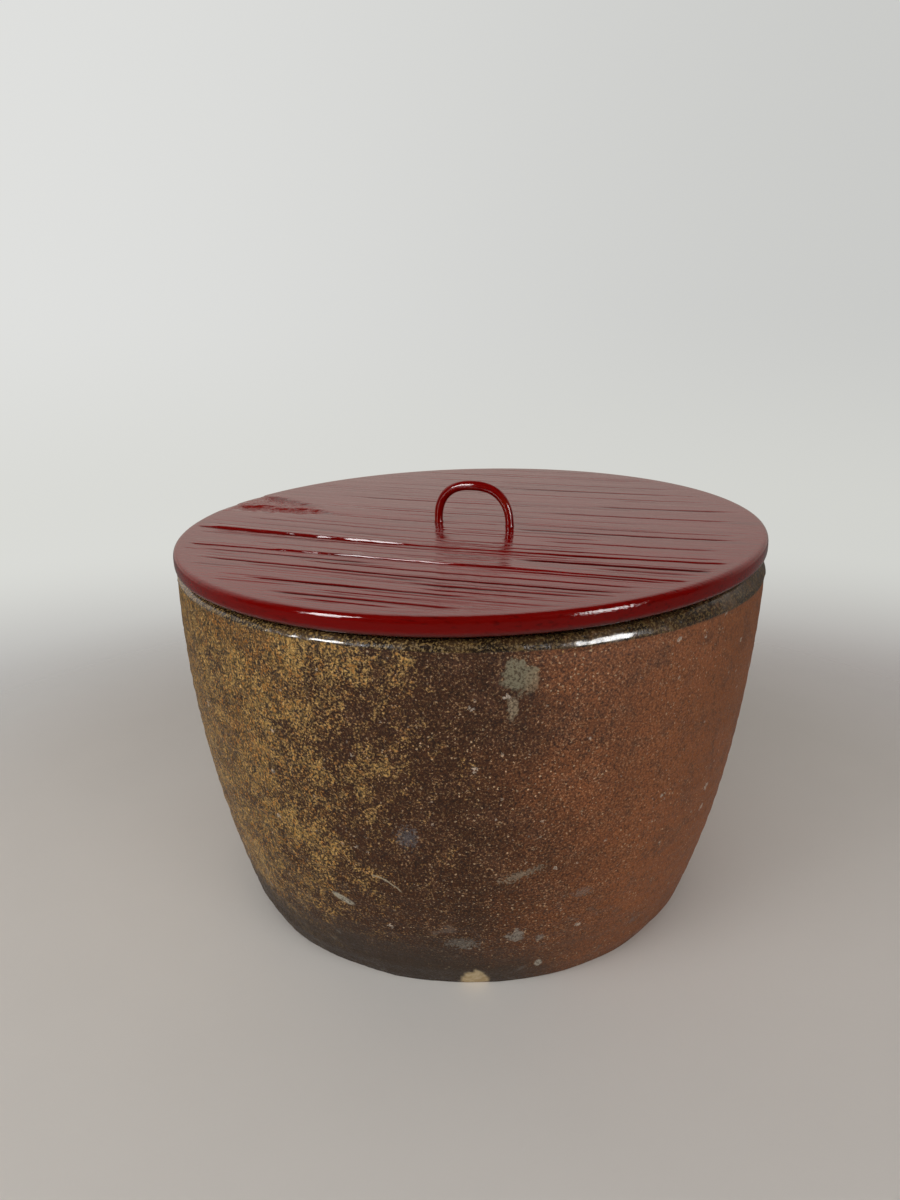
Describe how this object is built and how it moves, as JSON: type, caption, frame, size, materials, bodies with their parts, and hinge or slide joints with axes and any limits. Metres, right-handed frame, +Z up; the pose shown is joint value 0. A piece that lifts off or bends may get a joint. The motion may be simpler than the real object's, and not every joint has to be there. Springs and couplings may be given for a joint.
{
  "type": "lidded water jar",
  "caption": "Wide tapered stoneware water jar, wood fired with natural ash, under a flat red lacquered wooden lid with raised grain and a small bent loop handle; the lid lifts off.",
  "frame": {"origin": "centre of the flat base, on the surface that the jar stands on", "axes": "+Z up along the jar's axis, +X towards the side where the rim is highest, -Y towards the front of the reference view"},
  "size_m": [0.22, 0.22, 0.1635],
  "materials": {
    "stoneware": "unglazed wood-fired clay, matte to satin, olive and ochre fly ash on the left, iron red on the right",
    "lid_lacquer": "deep red lacquer over open grain, glossy",
    "handle_lacquer": "deep red lacquer over a smooth bent rod, glossy"
  },
  "bodies": {
    "jar": {"jar": "stoneware"},
    "lid": {"lid_board": "lid_lacquer", "loop_handle": "handle_lacquer"}
  },
  "joints": [
    {"name": "lid_lift", "type": "slide", "parent": "jar", "child": "lid", "axis": [0, 0, 1], "range_m": [0, 0.12]}
  ]
}
